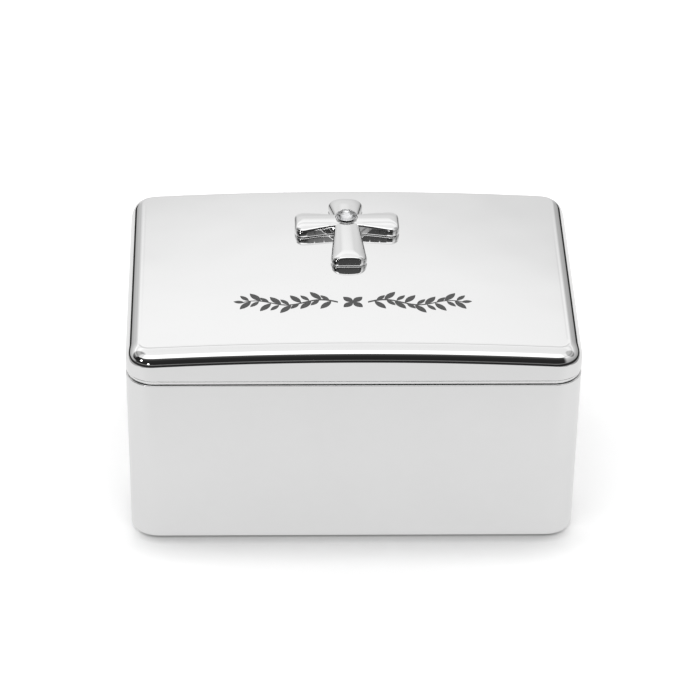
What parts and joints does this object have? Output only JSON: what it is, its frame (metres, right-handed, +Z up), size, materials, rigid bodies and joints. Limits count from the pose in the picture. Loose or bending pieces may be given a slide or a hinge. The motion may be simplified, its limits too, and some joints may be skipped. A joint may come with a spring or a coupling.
{
  "type": "christening box",
  "caption": "Rectangular plated keepsake box with a low arched lid hinged at the back, a flared cross with a set stone on the lid, and velvet linings.",
  "frame": {"origin": "middle of the felt face that the box stands on, under the middle of its plan", "axes": "+X to the right along the box's length, +Y towards the hinge at the back, +Z up through the lid"},
  "size_m": [0.09, 0.063, 0.0489],
  "materials": {
    "silver_plate": "mirror polished silver plate over a zinc casting",
    "pin_steel": "drawn steel, plain",
    "clear_stone": "faceted and polished, clear",
    "velvet": "short pile velvet",
    "felt": "pressed felt",
    "lining_board": "grey-brown pasteboard"
  },
  "bodies": {
    "base": {"base_shell": "silver_plate", "underside_felt": "felt", "wall_lining": "velvet", "floor_board": "lining_board", "floor_pad": "velvet", "base_knuckles": "silver_plate", "hinge_pin": "pin_steel"},
    "lid": {"lid_shell": "silver_plate", "lid_knuckles": "silver_plate", "lid_board": "lining_board", "lid_pad": "velvet", "cross": "silver_plate", "cross_washers": "pin_steel", "stone_cup": "silver_plate", "stone": "clear_stone"}
  },
  "joints": [
    {"name": "lid_hinge", "type": "hinge", "parent": "base", "child": "lid", "pos_m": [0, 0.03045, 0.03705], "axis": [-1, 0, 0], "range_deg": [0, 100]}
  ]
}
